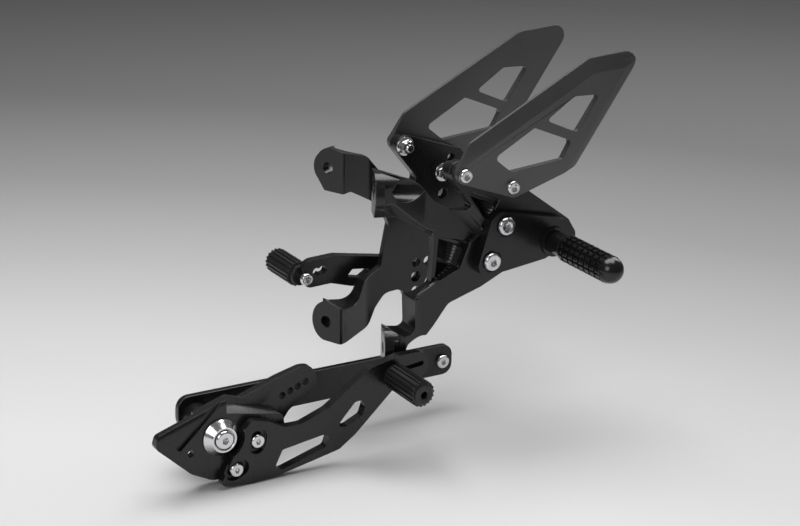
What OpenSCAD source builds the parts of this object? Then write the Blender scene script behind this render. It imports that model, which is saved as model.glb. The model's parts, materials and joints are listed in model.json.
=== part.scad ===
/* [Mounting pads] */
// Distance between the left and the right upper mounting bores
unit_gap = 65; // [50:1:120]
// Bore for the frame bolts
mount_bore_d = 8.5; // [6.5:0.1:10.5]
// Turn of each pad face towards the middle of the bike
pad_angle = 24; // [15:1:30]
// Height of a pad
pad_h = 30; // [26:1:36]
// Bore to the straight inboard edge of a pad
pad_in = 14; // [12:0.5:16]
// Bore to the round outboard edge of a pad
pad_out = 11; // [10:0.5:14]
// Radius of a pad's outboard corners
pad_round = 13; // [8:0.5:14]
// Diameter of the bolt head scoop behind an upper pad
scoop_d = 20; // [18:0.5:22]
// Rise of the scoop above the bore
scoop_rise = 3.5; // [0:0.5:4]
// Diameter of the bolt head recess behind a lower pad
recess_d = 16; // [15:0.5:18]
// Metal left between a pad face and its scoop
pad_wall = 7; // [5:0.5:9]
// Rearward offset of the left lower bore
left_drop_x = 10; // [4:1:12]
// Drop from the upper to the left lower bore
left_drop_z = 115.5; // [112:0.5:118]
// Rearward offset of the right lower bore
right_drop_x = 0; // [-4:1:4]
// Drop from the upper to the right lower bore
right_drop_z = 116.5; // [112:0.5:122]

/* [Hanger plates] */
// Thickness of the raised part of a hanger plate
plate_t = 10; // [8:0.5:12]
// Step from the raised face down to the web
web_step = 4; // [3:0.5:5]
// Inner face of a hanger plate, outboard of the pad bores
plate_inner = 0.5; // [0:0.5:2]
// Depth of the ridged pockets
pocket_depth = 2.5; // [1.5:0.5:3]
// Height of the fine ridges on a pocket floor
ridge_h = 0.4; // [0.3:0.1:0.8]
// Pitch of the fine ridges
ridge_pitch = 2.4; // [2:0.2:4]

/* [Heel guards] */
// Thickness of a heel guard
guard_t = 5; // [4:0.5:6]
// Width of the bevel along the upper edges
guard_bevel_w = 11; // [7:0.5:12]
// Depth of the bevel
guard_bevel_d = 2.6; // [1.5:0.1:3]
// Width of the bevel along the rear edge
guard_rear_bevel_w = 7; // [5:0.5:8]

/* [Footpegs] */
// Diameter of the knurled grip
peg_d = 20; // [18:0.5:24]
// Length of the knurled grip with its collar
peg_len = 76; // [60:1:95]
// Diameter of the smooth collar
peg_collar_d = 16.5; // [15:0.5:18]
// Number of teeth round the grip
peg_teeth = 14; // [10:1:18]
// Number of grooves along the grip
peg_rings = 8; // [5:1:10]
// Thickness of a peg holder
holder_t = 8; // [6:0.5:10]
// Distance between the two holder bolts
holder_pitch = 27; // [24:0.5:30]

/* [Fasteners] */
// Head diameter of an M6 button bolt
m6_head_d = 10.5; // [9.5:0.1:11]
// Head diameter of an M8 button bolt
m8_head_d = 14; // [13:0.1:15]
// Flange diameter of an M6 flange nut
m6_flange_d = 14.2; // [13:0.1:15]
// Radial clearance of a bolt in its hole
bolt_clear = 0.25; // [0.2:0.05:0.4]
// Radial clearance of a lever on its bush
bush_clear = 0.05; // [0.03:0.01:0.09]
// Side play of a lever between its shoulders
side_play = 0.3; // [0.2:0.05:0.5]

/* [Brake pedal] */
// Rearward offset of the brake pivot from the upper right bore
brake_pivot_x = 76.5; // [74:0.5:79]
// Drop of the brake pivot from the upper right bore
brake_pivot_z = 94.5; // [92:0.5:97]
// Thickness of the brake lever
brake_t = 7; // [5:0.5:9]
// Stand-off of the brake lever from the hanger's web
brake_stand = 11.5; // [10.5:0.5:15]
// Outside diameter of the brake bush
brake_bush_d = 15; // [13:0.5:16]

/* [Shift pedal] */
// Forward offset of the shift pivot from the upper left bore
shift_pivot_x = 126; // [120:1:136]
// Drop of the shift pivot from the upper left bore
shift_pivot_z = 149; // [144:1:156]
// Outboard face of the shift cam, outboard of the upper bores
cam_face_y = 17.5; // [14:0.5:20]
// Thickness of the cam hub
cam_t = 10; // [9:0.5:12]
// Thickness of the cam's pointed end
cam_tip_t = 6.5; // [5:0.5:8]
// Thickness of the shift pedal plate
pedal_t = 7; // [5:0.5:8]
// Length of the spacer between the cam and the bracket
spacer_len = 30; // [24:1:36]
// Outside diameter of the spacer
spacer_d = 20; // [18:0.5:22]
// Outside diameter of the cam bush
cam_bush_d = 16; // [14:0.5:17]
// Thickness of the bracket plate
bracket_t = 5; // [4:0.5:8]
// Distance from the pivot to the rear bracket bolt
bracket_len = 200; // [190:1:212]
// Outside diameter of the cone washer
cone_d = 26.5; // [24:0.5:28]
// Height of the cone washer
cone_h = 6; // [4:0.5:8]

/* [Toe pieces] */
// Outside diameter of a ribbed toe piece
toe_d = 19; // [17:0.5:21]
// Length of the brake pedal's ribbed toe piece
brake_toe_len = 41; // [34:1:48]
// Length of the shift pedal's ribbed toe piece
shift_toe_len = 42; // [34:1:48]
// Number of ribs round a toe piece
toe_ribs = 18; // [12:1:22]

/* [Hidden] */

black = [0.10, 0.10, 0.11];
grip = [0.07, 0.07, 0.08];
steel = [0.80, 0.80, 0.82];
$fn = 64;

// Levels across the bike in a unit's own frame, outboard is negative
raised_y = -plate_inner - plate_t;
web_y = raised_y + web_step;
guard_y = raised_y - guard_t;

// Guard bolt places, front and rear, from the upper bore
guard_bolt_1 = [64, 8];
guard_bolt_2 = [104, -6];
// Second flange nut of the right hanger
stay_bolt = [97.5, -16];
// Holder bolt places from the upper bore
holder_bolt_1 = [98, -33];
holder_bolt_2 = holder_bolt_1 + holder_pitch * [-0.4, -0.9165];
// Axis of the footpeg from the upper bore
peg_axis = [140, -51];

m6_r = 3;
m8_r = 4;
eps = 0.01;
through = 200;

// Corner list to outline: each corner is [x, y, radius]
function unit(v) = v / norm(v);
function corner(a, b, c, r, steps = 6) =
    let (u = unit([a.x - b.x, a.y - b.y]), w = unit([c.x - b.x, c.y - b.y]),
        half = acos(max(-1, min(1, u * w))) / 2,
        room = 0.48 * min(norm([a.x - b.x, a.y - b.y]), norm([c.x - b.x, c.y - b.y])),
        q = min(r, room * tan(half)),
        mid = [b.x, b.y] + unit(u + w) * q / sin(half),
        p = [b.x, b.y] + u * q / tan(half) - mid,
        e = [b.x, b.y] + w * q / tan(half) - mid,
        turn = atan2(p.x * e.y - p.y * e.x, p * e))
    r == 0 || half > 89.5 ? [[b.x, b.y]] : [for (i = [0:steps]) let (t = turn * i / steps)
        mid + [p.x * cos(t) - p.y * sin(t), p.x * sin(t) + p.y * cos(t)]];
function rounded(list) = [for (i = [0:len(list) - 1])
    each corner(list[(i + len(list) - 1) % len(list)], list[i],
        list[(i + 1) % len(list)], list[i][2])];

// An X-Z outline extruded along Y between two levels
module slab(list, y0, y1) {
    translate([0, y1, 0]) rotate([90, 0, 0]) linear_extrude(y1 - y0) polygon(rounded(list));
}

// A round bar along Y between two levels, at [x, z]
module bar(at, r, y0, y1) {
    translate([at.x, y1, at.y]) rotate([90, 0, 0]) cylinder(r = r, h = y1 - y0);
}

// A cone along Y: radius r0 at level y0, r1 at level y1
module cone(at, r0, r1, y0, y1) {
    translate([at.x, y0, at.y]) rotate([-90, 0, 0]) cylinder(r1 = r0, r2 = r1, h = y1 - y0);
}

// Button head bolt along +Y with its head seat at level y
module button_bolt(at, shank_r, head_d, y, length) {
    head_h = shank_r * 1.1;
    key_r = shank_r * 0.78;
    difference() {
        union() {
            bar(at, head_d / 2, y - head_h * 0.4, y);
            cone(at, head_d / 2 - head_h * 0.75, head_d / 2, y - head_h, y - head_h * 0.4);
            bar(at, shank_r, y - eps, y + length);
        }
        translate([at.x, y - head_h - eps, at.y]) rotate([-90, 30, 0])
            cylinder(r = key_r, h = head_h * 0.75, $fn = 6);
    }
}

// Hexagon flange nut with its seat at level y, standing towards +Y
module flange_nut(at, shank_r, flange_d, y) {
    across = shank_r * 3.6;
    difference() {
        union() {
            cone(at, flange_d / 2, flange_d / 2 - 1, y, y + shank_r * 0.6);
            translate([at.x, y, at.y]) rotate([-90, 30, 0])
                cylinder(d = across, h = shank_r * 2.2, $fn = 6);
        }
        bar(at, shank_r + 0.02, y - 1, y + through);
    }
}

// Everything on the right is the mirror of the left unit
module right_side() {
    translate([0, unit_gap, 0]) mirror([0, 1, 0]) children();
}

// Hanger: outlines in side view and in plan
upper_arm_top = [[-14, pad_h / 2, 0], [3, pad_h / 2, 6], [32, 5, 14], [45, -10, 10],
    [58, -19, 10], [78, -21, 3]];
plate_top = [[40, 25, 8], [112, 0, 8], [121, -12, 5], [158, -39, 8], [168, -55, 6],
    [138, -65, 6]];
pad_sag = 2;
upper_arm_under = [[45.5, -35, 4], [30, -26, 10], [14, -pad_h / 2 - pad_sag, 8],
    [-14, -pad_h / 2 - pad_sag, 0]];

left_low = [left_drop_x, -left_drop_z];
right_low = [right_drop_x, -right_drop_z];
notch_r = 11;
function lower_block(low, under) = concat(under, [
    [low.x + 12, low.y - pad_h / 2, 4], [low.x - 16, low.y - pad_h / 2, 0],
    [low.x - 16, low.y + pad_h / 2, 0], [low.x + 2, low.y + pad_h / 2, 4],
    [low.x + 9, low.y + pad_h / 2 - 4, 5]]);

left_outline = concat(upper_arm_top, plate_top, [[104, -70, 8], [84, -79, 10]],
    lower_block(left_low, [[57, -87, 8], [45, -102, 12], [30, -118, 6]]),
    [[29.5, -104.5, notch_r], [28.5, -79, 3], [44, -71, 3]], upper_arm_under);
right_outline = concat(upper_arm_top, plate_top, [[104, -70, 8], [92, -84, 4], [78, -113, 4],
    [70, -113, 5], [64, -102, 7], [50, -103, 9]],
    lower_block(right_low, [[42, -113, 10], [36, -127, 8]]),
    [[24, -106, notch_r], [31, -91, 4], [46, -82, 4], [52, -50, 4]], upper_arm_under);

// Plan of an arm: the pad face, its two sides, then the plate
function along(a, t) = a * [cos(pad_angle), -sin(pad_angle)] + t * [sin(pad_angle), cos(pad_angle)];
web_reach = 38;
function plan_of(level, reach) = [
    concat(along(0, pad_in), 1.5), concat(along(32, pad_in), 14),
    concat([along(32, pad_in).x + 12, -plate_inner], 14), [190, -plate_inner, 0],
    [190, level, 0], [reach, level, 12], [8, web_y - 8, 8],
    concat(along(0, -pad_out), 4)];

// Raised face of a plate, to the rear of the slanted step
step_top = [40, 25];
step_mid = [89, -33];
plate_rear = [[112, 0, 8], [121, -12, 5], [158, -39, 8], [168, -55, 6], [138, -65, 6],
    [104, -70, 8]];
right_raised = concat([concat(step_top, 8)], plate_rear, [[84, -79, 10], [78, -74, 4],
    concat(step_mid, 5)]);
// On the left the raised face runs on down the leg to the lower pad
left_raised = concat([concat(step_top, 8)], plate_rear, [[84, -79, 10], [57, -87, 8],
    [45, -102, 12], [30, -97, 0], [28.5, -79, 3], [44, -71, 0], [60, -60, 0], [70, -45, 0],
    [77, -42, 2], concat(step_mid, 5)]);

// Cove that runs the web up to the raised face along the slanted step
cove_w = 13;
cove_steps = 8;
cove_lip = 0.1;
module cove() {
    run = norm(step_mid - step_top);
    turn = atan2(step_mid.y - step_top.y, step_mid.x - step_top.x);
    translate([step_top.x, web_y, step_top.y]) rotate([0, -turn, 0]) rotate([90, 0, 90])
        linear_extrude(run) polygon(concat([[2, 1], [2, -cove_w], [0, -cove_w]],
            [for (i = [1:cove_steps - 1]) let (k = i / cove_steps)
                [-web_step * k * k, cove_w * (k - 1)]],
            [[cove_lip - web_step, 0.4], [cove_lip - web_step, 2]]));
}

module ridges(list, floor_y, tilt) {
    // Fine ridges: thin bars over a pocket floor, cut to the pocket's outline
    intersection() {
        slab(list, floor_y - ridge_h, floor_y + 0.2);
        translate([list[0].x, 0, list[0].y]) rotate([0, tilt, 0])
            for (i = [-14:14])
                translate([-60, floor_y - ridge_h - 1, i * ridge_pitch])
                    cube([120, 4, ridge_pitch / 2]);
    }
}

upper_pocket = [[69, -5, 2], [97.5, -15.5, 2], [88, -31.5, 2]];
lower_pocket = [[50, -37.5, 1.5], [73.5, -44, 2], [66, -62, 2], [47.5, -69.5, 1.5]];

// The lower arm has a plan of its own, moved back to its pad
module hanger_blank(outline, raised, low, low_level, low_reach) {
    split_z = low.y + pad_h / 2 + 21;
    difference() {
        union() {
            intersection() {
                slab(outline, -40, 40);
                union() {
                    translate([0, 0, split_z]) linear_extrude(through)
                        polygon(rounded(plan_of(web_y, web_reach)));
                    translate([low.x, 0, split_z - through]) linear_extrude(through)
                        polygon(rounded(plan_of(low_level, low_reach)));
                    cove();
                }
            }
            intersection() {
                slab(outline, -40, 40);
                slab(raised, raised_y, -plate_inner);
            }
        }
        pad_corners([0, 0], pad_h / 2, -pad_h / 2 - pad_sag, 0);
        pad_corners(low, pad_h / 2, -pad_h / 2, 30);
        under_facet();
    }
}

// Rounding of one corner of a pad, at t across and z up, that fades along the arm
module corner_round(t, z, r, turn, tilt) {
    translate([0, t, z]) rotate([turn, 0, 0]) rotate([0, -tilt, 0]) rotate([90, 0, 90])
        translate([0, 0, -12]) difference() {
            linear_extrude(tilt == 0 ? 46 : 26) polygon([[0, 0], [28, 28], [-28, 28]]);
            translate([0, 0, -1]) cylinder(r = r, h = 60);
        }
}
module pad_corners(low, top, bottom, tilt) {
    inner_r = 4;
    translate([low.x, 0, low.y]) rotate([0, 0, -pad_angle]) {
        corner_round(pad_round - pad_out, top - pad_round, pad_round, 45, tilt);
        corner_round(pad_round - pad_out, bottom + pad_round, pad_round, 135, 30);
        corner_round(pad_in - inner_r, top - inner_r, inner_r, -45, 30);
        corner_round(pad_in - inner_r, bottom + inner_r, inner_r, -135, 30);
    }
}

// Slanted facet under the outboard side of the upper arm
facet_lean = 35;
facet_turn = 17.6;
facet_start = [-6, web_y - 6.5, -1];
facet_reach = 45;
module under_facet() {
    intersection() {
        slab([[-20, 6, 0], [facet_reach, 6, 0], [facet_reach, -36, 0], [-20, -36, 0]], -40, 40);
        translate(facet_start) rotate([facet_lean, 0, -facet_turn])
            translate([-100, -100, -100]) cube([200, 100, 200]);
    }
}

// Bore and scoop along a pad's own axis
module pad_bore(low) {
    translate([low.x, 0, low.y]) rotate([0, 0, -pad_angle]) rotate([0, 90, 0])
        translate([0, 0, -10]) cylinder(d = mount_bore_d, h = 60);
}
module pad_scoop(low, d, rise) {
    translate([low.x, 0, low.y + rise]) rotate([0, 0, -pad_angle]) rotate([0, 90, 0])
        translate([0, 0, pad_wall]) cylinder(d = d, h = 60);
}

module bolt_hole(at, r) {
    bar(at, r, -40, 40);
}

module hanger_cuts(low) {
    pad_bore([0, 0]);
    pad_scoop([0, 0], scoop_d, scoop_rise);
    pad_bore(low);
    pad_scoop(low, recess_d, 0);
    bolt_hole(guard_bolt_1, m6_r + bolt_clear);
    bolt_hole(guard_bolt_2, m6_r);
    bolt_hole(holder_bolt_1, m8_r);
    bolt_hole(holder_bolt_2, m8_r);
    bolt_hole(peg_axis, m8_head_d / 2);
}

module left_hanger() {
    color(black) {
        difference() {
            hanger_blank(left_outline, left_raised, left_low, raised_y, 24);
            hanger_cuts(left_low);
            slab(upper_pocket, raised_y - 1, raised_y + pocket_depth);
            slab(lower_pocket, -40, web_y + pocket_depth);
        }
        ridges(upper_pocket, raised_y + pocket_depth, 24);
        ridges(lower_pocket, web_y + pocket_depth, 24);
    }
}

// Spare holder holes of the right hanger and the pivot hole among them
spare_holes = [[brake_pivot_x, -brake_pivot_z + 11], [brake_pivot_x + 10, -brake_pivot_z + 11],
    [brake_pivot_x, -brake_pivot_z - 11], [brake_pivot_x + 15, -brake_pivot_z + 22]];
brake_pivot = [brake_pivot_x, -brake_pivot_z];
spare_r = 3.4;

module right_hanger() {
    color(black) right_side() {
        difference() {
            hanger_blank(right_outline, right_raised, right_low, web_y, web_reach);
            hanger_cuts(right_low);
            bolt_hole(brake_pivot, m8_r);
            bolt_hole(stay_bolt, m6_r);
            cone(stay_bolt, sink_r + 1.25, 1.25, raised_y - 1, raised_y + sink_r - 1);
            for (at = spare_holes) bolt_hole(at, spare_r);
        }
    }
}

// Heel guard with its wide bevel and two cut-outs
guard_outline = [[54.5, 4.5, 7], [69, 29.5, 10], [167, 79.5, 14], [216, 82.5, 8.5],
    [159.5, 1.5, 8], [106, -14.5, 9]];
guard_upper_window = [[131, 39, 2], [154, 54, 3], [176, 53, 2], [158, 27, 3]];
guard_lower_window = [[88, 17, 3], [121, 35, 3], [153.5, 21.5, 3], [146, 8.5, 3], [103, 5, 3]];

// Wedge that bevels the outboard face along one edge of an outline
module edge_bevel(p, q, width, depth, y) {
    run = norm([q.x - p.x, q.y - p.y]);
    turn = atan2(q.y - p.y, q.x - p.x);
    translate([p.x, y, p.y]) rotate([0, -turn, 0]) rotate([90, 0, 90])
        translate([0, 0, -40]) linear_extrude(run + 80)
            polygon([[-1, -width - width / depth], [-1, 2], [depth, 2], [depth, 0]]);
}

module heel_guard() {
    difference() {
        slab(guard_outline, guard_y, raised_y);
        slab(guard_upper_window, guard_y - 1, raised_y + 1);
        slab(guard_lower_window, guard_y - 1, raised_y + 1);
        bolt_hole(guard_bolt_1, m6_r + bolt_clear);
        bolt_hole(guard_bolt_2, m6_r + bolt_clear);
        edge_bevel(guard_outline[1], guard_outline[2], guard_bevel_w, guard_bevel_d, guard_y);
        edge_bevel(guard_outline[2], guard_outline[3], guard_bevel_w, guard_bevel_d, guard_y);
        edge_bevel(guard_outline[3], guard_outline[4], guard_rear_bevel_w, guard_bevel_d, guard_y);
    }
}

module left_heel_guard() { color(black) heel_guard(); }
module right_heel_guard() { color(black) right_side() heel_guard(); }

collar_len = 7;
module left_guard_bolts() {
    color(steel) {
        button_bolt(guard_bolt_1, m6_r, m6_head_d, guard_y, guard_t + plate_t + collar_len - 1);
        button_bolt(guard_bolt_2, m6_r, m6_head_d, guard_y, guard_t + plate_t - 1);
    }
}

module left_guard_collar() {
    color(black) difference() {
        union() {
            bar(guard_bolt_1, 7, -plate_inner, -plate_inner + 2);
            bar(guard_bolt_1, 5.2, -plate_inner, -plate_inner + collar_len);
        }
        bar(guard_bolt_1, m6_r, -40, 40);
    }
}

module right_guard_bolts() {
    color(steel) right_side() {
        button_bolt(guard_bolt_1, m6_r, m6_head_d, guard_y, guard_t + plate_t + 8);
        button_bolt(guard_bolt_2, m6_r, m6_head_d, guard_y, guard_t + plate_t - 1);
    }
}

module right_flange_nuts() {
    color(steel) right_side() {
        flange_nut(guard_bolt_1, m6_r, m6_flange_d, -plate_inner);
        flange_nut(stay_bolt, m6_r, m6_flange_d, -plate_inner);
    }
}

// Countersunk bolt, flush with the raised face
sink_r = 6;
sink_h = 3;
module right_stay_bolt() {
    color(steel) right_side() difference() {
        union() {
            cone(stay_bolt, sink_r, m6_r, raised_y + 0.2, raised_y + 0.2 + sink_h);
            bar(stay_bolt, m6_r, raised_y + sink_h, -plate_inner + 8);
        }
        translate([stay_bolt.x, raised_y - 1, stay_bolt.y]) rotate([-90, 30, 0])
            cylinder(r = 2.3, h = sink_h, $fn = 6);
    }
}

// Peg holder: a pointed plate under the two bolts, running back to the peg
holder_outline = [[86, -27, 6], [93, -22, 5], [152, -36, 10], [160, -52, 8], [133, -63, 6],
    [99, -67, 8], [79, -68, 6], [76, -60, 6]];
holder_y = raised_y - holder_t;
peg_head_h = 4.7;

module peg_holder() {
    difference() {
        union() {
            slab(holder_outline, holder_y, raised_y);
            bar(peg_axis, 11, holder_y - 2, raised_y);
        }
        bolt_hole(holder_bolt_1, m8_r + bolt_clear);
        bolt_hole(holder_bolt_2, m8_r + bolt_clear);
        bolt_hole(peg_axis, m8_r + bolt_clear);
        bar(peg_axis, m8_head_d / 2, raised_y - peg_head_h, raised_y + 1);
        // Raised boss left round the bolts, lower land towards the peg
        bar(holder_bolt_1, m8_head_d / 2 + 1, holder_y - 1, holder_y + 1.5);
        bar(holder_bolt_2, m8_head_d / 2 + 1, holder_y - 1, holder_y + 1.5);
    }
}

module left_peg_holder() { color(black) peg_holder(); }
module right_peg_holder() { color(black) right_side() peg_holder(); }

module holder_bolts() {
    for (at = [holder_bolt_1, holder_bolt_2])
        button_bolt(at, m8_r, m8_head_d, holder_y + 1.5, holder_t - 1.5 + plate_t - 0.5);
}
module left_holder_bolts() { color(steel) holder_bolts(); }
module right_holder_bolts() { color(steel) right_side() holder_bolts(); }

// Footpeg: smooth collar, rings of square teeth on a core, ball end
peg_seat = holder_y - 2;
grip_start = 16;
tooth_h = 1.3;
groove_w = 1.8;
tooth_ring = [for (i = [0:peg_teeth - 1]) let (pitch = 360 / peg_teeth)
    each [for (c = [[0.0, peg_d / 2], [0.35, peg_d / 2], [0.7, peg_d / 2],
            [0.72, peg_d / 2 - tooth_h], [0.98, peg_d / 2 - tooth_h]])
        c[1] * [cos((i + c[0]) * pitch), sin((i + c[0]) * pitch)]]];
module footpeg() {
    ball_r = peg_d / 2 - 0.4;
    grip_len = peg_len - grip_start - ball_r;
    ring_pitch = (grip_len + groove_w) / peg_rings;
    translate([peg_axis.x, peg_seat, peg_axis.y]) rotate([90, 0, 0]) difference() {
        union() {
            cylinder(d = peg_collar_d, h = grip_start);
            translate([0, 0, grip_start - 1]) cylinder(r = peg_d / 2 - tooth_h - 0.4, h = grip_len + 1);
            for (i = [0:peg_rings - 1])
                translate([0, 0, grip_start + i * ring_pitch])
                    linear_extrude(ring_pitch - groove_w) polygon(tooth_ring);
            translate([0, 0, peg_len - ball_r]) sphere(r = ball_r);
        }
        translate([0, 0, -1]) cylinder(r = m8_r, h = 31);
    }
}
module left_footpeg() { color(grip) footpeg(); }
module right_footpeg() { color(grip) right_side() footpeg(); }

// Bolt that holds the peg, its low head sunk in the holder's inner face
module peg_bolt() {
    translate([peg_axis.x, raised_y, peg_axis.y]) rotate([90, 0, 0]) difference() {
        union() {
            translate([0, 0, peg_head_h - 1]) cylinder(r = m8_r, h = raised_y - peg_seat + 25 - peg_head_h);
            translate([0, 0, 0.2]) cylinder(d = m8_head_d - 1, h = peg_head_h - 0.2);
        }
        cylinder(r = 2.9, h = 3, $fn = 6);
    }
}
module left_peg_bolt() { color(steel) peg_bolt(); }
module right_peg_bolt() { color(steel) right_side() peg_bolt(); }

// Brake pedal on the outer side of the right hanger
lever_in = web_y - brake_stand;
lever_out = lever_in - brake_t;
toe_at = [-7, -88];
brake_outline = [[-8, -75, 8], [18, -74, 10], [57, -81, 8], [84, -84, 9], [88, -104, 9],
    [66, -106, 8], [31, -100, 8], [14, -95, 8], [-10, -96, 7]];
brake_window = [[27, -92.5, 1.5], [32, -87, 1.5], [49, -89, 1.5], [40, -95, 1.5]];
brake_slot = [2, -84.5];

// Ribbed toe piece along -Y from level y, at [x, z]
rib_h = 1.2;
rib_ring = [for (i = [0:toe_ribs - 1]) let (pitch = 360 / toe_ribs)
    each [for (c = [[0.0, toe_d / 2 - rib_h], [0.18, toe_d / 2], [0.52, toe_d / 2],
            [0.7, toe_d / 2 - rib_h]])
        c[1] * [cos((i + c[0]) * pitch), sin((i + c[0]) * pitch)]]];
module toe_piece(at, y, toe_len) {
    collar_h = 4;
    cap_h = 1.5;
    translate([at.x, y, at.y]) rotate([90, 0, 0]) difference() {
        union() {
            cylinder(d = toe_d - 4, h = collar_h + 1);
            translate([0, 0, collar_h]) linear_extrude(toe_len - collar_h - cap_h) polygon(rib_ring);
            translate([0, 0, toe_len - cap_h - 1]) cylinder(d = toe_d - 5, h = cap_h + 1);
        }
        translate([0, 0, -1]) cylinder(r = m6_r, h = toe_len - 7);
        translate([0, 0, toe_len - 5]) cylinder(r = 2.9, h = 6, $fn = 6);
    }
}

module brake_lever() {
    color(black) right_side() difference() {
        union() {
            slab(brake_outline, lever_out, lever_in);
            bar(brake_pivot, 12.5, lever_out, lever_in);
        }
        bar(brake_pivot, brake_bush_d / 2 + bush_clear, -60, 40);
        slab(brake_window, lever_out - 1, lever_in + 1);
        bar(toe_at, m6_r + bolt_clear, -60, 40);
        bar(brake_slot, 3.2, -60, 40);
        bar(brake_slot + [5, 1], 3.2, -60, 40);
    }
}

module brake_bush() {
    color(steel) right_side() difference() {
        union() {
            bar(brake_pivot, brake_bush_d / 2, lever_out - side_play, web_y);
            bar(brake_pivot, 10, lever_in + side_play, web_y);
        }
        bar(brake_pivot, m8_r + bolt_clear, -60, 40);
    }
}

module brake_pivot_bolt() {
    seat = lever_out - side_play;
    color(steel) right_side() {
        difference() {
            bar(brake_pivot, 10.5, seat - 1.5, seat);
            bar(brake_pivot, m8_r - 0.5, -60, 40);
        }
        button_bolt(brake_pivot, m8_r, m8_head_d, seat - 1.5, 1.5 - seat - plate_inner - 1);
    }
}

module brake_toe_piece() { color(grip) right_side() toe_piece(toe_at, lever_out, brake_toe_len); }

module brake_toe_bolt() {
    color(steel) right_side() translate([toe_at.x, 0, toe_at.y]) rotate([0, 0, 180])
        button_bolt([0, 0], m6_r, m6_head_d - 1, -lever_in, brake_t + 22);
}

// Shift pedal group, about its own pivot
shift_at = [-shift_pivot_x, -shift_pivot_z];
cam_front = -cam_face_y;
cam_back = cam_front + cam_t;
pedal_back = cam_front;
pedal_front = pedal_back - pedal_t;
spacer_y = cam_back + side_play;
bracket_y = spacer_y + spacer_len;

module at_shift() { translate([shift_at.x, 0, shift_at.y]) children(); }

bracket_bolt_at = [bracket_len, 3];
bracket_outline = [[-12.5, -9.5, 9], [-12.5, 15, 9], [bracket_len + 9, 15, 8],
    [bracket_len + 9, -8, 8]];
module shift_bracket() {
    color(black) at_shift() difference() {
        slab(bracket_outline, bracket_y, bracket_y + bracket_t);
        bar([0, 0], m8_r, -60, 80);
        bar(bracket_bolt_at, m6_r + bolt_clear, -60, 80);
    }
}

module bracket_bolt() {
    color(steel) at_shift() button_bolt(bracket_bolt_at, m6_r, m6_head_d, bracket_y, bracket_t + 9);
}
module bracket_nut() {
    color(steel) at_shift() flange_nut(bracket_bolt_at, m6_r, m6_flange_d, bracket_y + bracket_t);
}

module shift_spacer() {
    color(black) at_shift() difference() {
        bar([0, 0], spacer_d / 2, spacer_y, bracket_y);
        bar([0, 0], m8_r + bolt_clear, -60, 80);
    }
}

module cam_bush() {
    color(steel) at_shift() difference() {
        bar([0, 0], cam_bush_d / 2, cam_front - side_play, spacer_y);
        bar([0, 0], m8_r + bolt_clear, -60, 80);
    }
}

// The pivot bolt's head sits in a recess of the cone washer
cone_sink = 3;
module cone_washer() {
    seat = cam_front - side_play;
    color(steel) at_shift() difference() {
        union() {
            bar([0, 0], cone_d / 2, seat - 1, seat);
            cone([0, 0], m8_head_d / 2 + 2, cone_d / 2, seat - cone_h, seat - 1);
        }
        bar([0, 0], m8_r + bolt_clear, -80, 80);
        bar([0, 0], m8_head_d / 2 + 0.5, -80, seat - cone_h + cone_sink);
    }
}

module shift_pivot_bolt() {
    seat = cam_front - side_play - cone_h + cone_sink;
    color(steel) at_shift()
        button_bolt([0, 0], m8_r, m8_head_d, seat, bracket_y + bracket_t - seat - 0.5);
}

// Cam: pointed plate with a hub, and a stepped arm with four rod holes
cam_outline = [[-48, 2, 5], [-46, 8.5, 4], [7, 26, 4], [23, 21, 3], [47, 7, 3], [49, -1, 4],
    [33, -11, 6], [23, -31, 10], [-6, -31, 12], [-22, -23, 12], [-46, -1, 4]];
arm_outline = [[8, 17, 2], [17, 20.5, 3], [47, 31, 3], [65, 35.5, 6], [73, 35, 7], [78.5, 26, 7],
    [76, 19.5, 5], [56, 5, 4], [49, -5, 2], [30, 0, 2]];
arm_t = 6;
arm_y = cam_back - 2;
rod_holes = [for (i = [0:3]) [51 + i * 6, 17 + i * 2.3]];
pedal_bolts = [[25, -6], [9, -24]];
stop_hole = [-22, -8];
cam_groove = [[-34, -1.2, 1.5], [-30, -5.2, 1.5], [2, 25, 0], [-3, 25.5, 0]];
module shift_cam() {
    color(black) at_shift() difference() {
        union() {
            slab(cam_outline, cam_front, cam_back);
            slab(arm_outline, arm_y, arm_y + arm_t);
        }
        bar([0, 0], cam_bush_d / 2 + bush_clear, -80, 80);
        for (at = rod_holes) bar(at, 2.5, -80, 80);
        for (at = pedal_bolts) bar(at, m6_r, -80, 80);
        bar(stop_hole, 2.5, -80, 80);
        slab(cam_groove, cam_front - 1, cam_front + 2.5);
        // The pointed end is thinner than the hub, with a bevel along its top
        slab([[-60, 30, 0], [-17, 30, 0], [-17, -40, 0], [-60, -40, 0]],
            cam_front + cam_tip_t, 80);
        edge_bevel(cam_outline[1], cam_outline[2], 3, 1.5, cam_front);
        cam_ledge();
    }
}

// Slanted ledge that leads from the front of the cam up to the arm behind it
ledge_start = [5.4, 15.9];
ledge_lean = 27.5;
ledge_fall = 11.4;
module cam_ledge() {
    intersection() {
        slab([[4.5, 40, 0], [60, 40, 0], [60, 0, 0], [4.5, 0, 0]], cam_front - 1, arm_y);
        translate([ledge_start.x, cam_front, ledge_start.y]) rotate([ledge_lean, ledge_fall, 0])
            translate([-100, -100, 0]) cube([200, 200, 100]);
    }
}

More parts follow.
